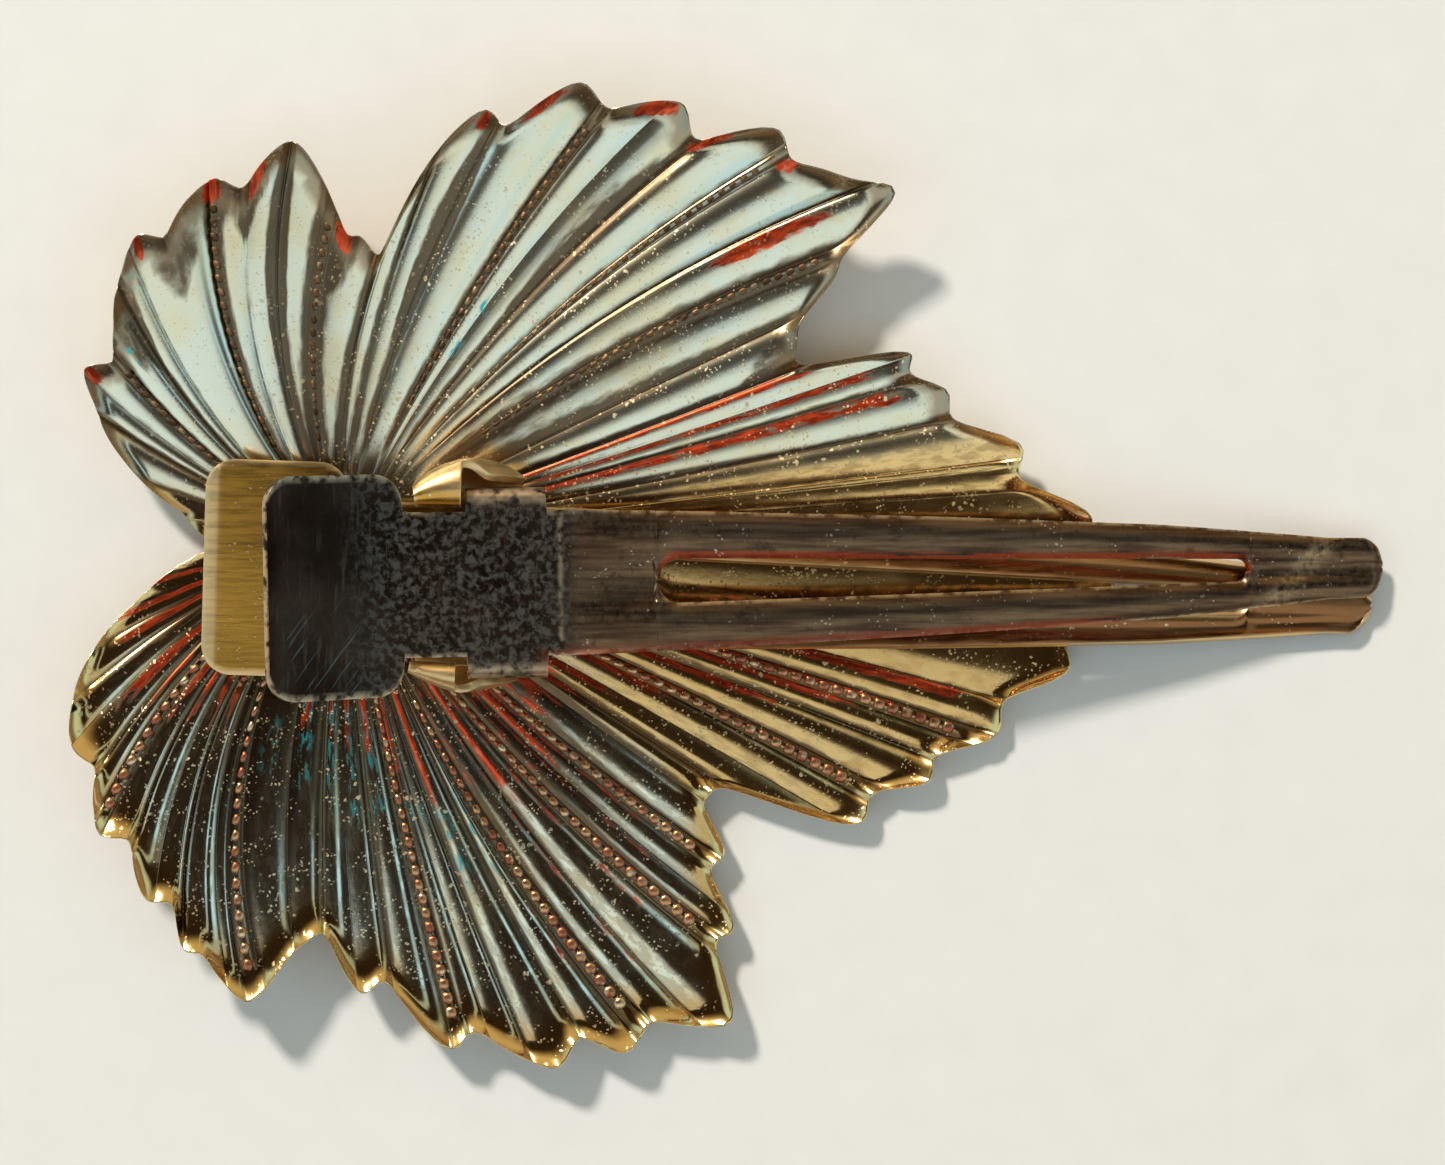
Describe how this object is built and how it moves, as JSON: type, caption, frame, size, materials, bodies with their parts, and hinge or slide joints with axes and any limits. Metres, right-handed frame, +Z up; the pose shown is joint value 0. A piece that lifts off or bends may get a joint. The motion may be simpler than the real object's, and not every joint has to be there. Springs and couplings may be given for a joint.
{
  "type": "leaf hair clip",
  "caption": "Sprung single-prong hair clip with a ribbed, tooth-edged leaf ornament soldered under its lower lever, shown leaf face down.",
  "frame": {"origin": "on the table the clip rests on, under the centre of its footprint", "axes": "+X along the clip from the thumb tabs to the prong tip, +Z up with the leaf underneath and its front face down, +Y to the left when looking along +X"},
  "size_m": [0.09, 0.0672, 0.0158],
  "materials": {
    "leaf_gold": "polished, lightly tarnished gold tone",
    "lever_gold": "satin gold tone",
    "lever_bronze": "aged, worn bronze tone",
    "spring_steel": "plain spring steel",
    "solder_grey": "dull soft solder"
  },
  "bodies": {
    "lower": {"lower_lever": "lever_gold", "leaf": "leaf_gold", "solder": "solder_grey", "spring": "spring_steel"},
    "upper": {"upper_lever": "lever_bronze"}
  },
  "joints": [
    {"name": "jaw_hinge", "type": "hinge", "parent": "lower", "child": "upper", "pos_m": [-0.01941, -0.00034, 0.01056], "axis": [-0.0363, -0.998, -0.0523], "range_deg": [0, 30], "stiffness_Nm_per_rad": 0.02, "springref_deg": -20.05, "deforming": ["spring"]}
  ]
}
